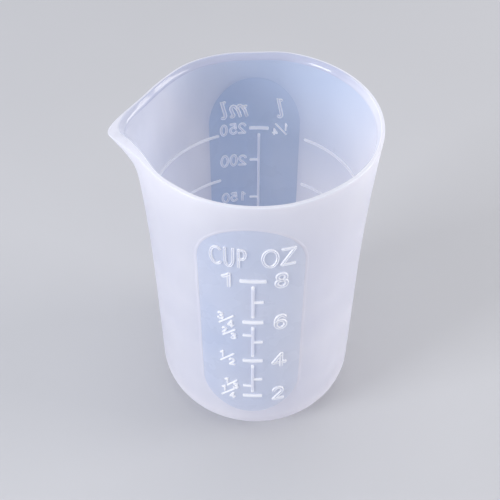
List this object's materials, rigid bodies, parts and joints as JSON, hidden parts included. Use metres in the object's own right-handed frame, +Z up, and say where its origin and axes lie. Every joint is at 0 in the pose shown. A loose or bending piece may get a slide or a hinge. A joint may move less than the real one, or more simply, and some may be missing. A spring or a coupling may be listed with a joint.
{
  "type": "resin mixing cup",
  "caption": "Soft translucent mixing and measuring cup with rounded heel, flared mouth, pointed pouring spout and two clear windows with raised scales.",
  "frame": {"origin": "on the cup's axis, in the middle of its flat underside", "axes": "+Z up along the cup's axis, -Y towards the CUP and OZ scale, +Y towards the ml scale, -X towards the pouring spout"},
  "size_m": [0.0783, 0.0728, 0.112],
  "materials": {
    "frosted_silicone": "translucent frosted silicone, satin",
    "glossy_silicone": "polished silicone lip",
    "clear_silicone": "clear polished silicone with a blue cast",
    "raised_marks": "raised frosted silicone marks"
  },
  "bodies": {
    "root": {"cup_base": "frosted_silicone", "cup_wall": "frosted_silicone", "pouring_spout": "frosted_silicone", "rim_lip": "glossy_silicone", "front_window": "clear_silicone", "rear_window": "clear_silicone", "cup_oz_scale": "raised_marks", "ml_scale": "raised_marks", "left_level_lines": "raised_marks", "right_level_lines": "raised_marks"}
  },
  "joints": []
}
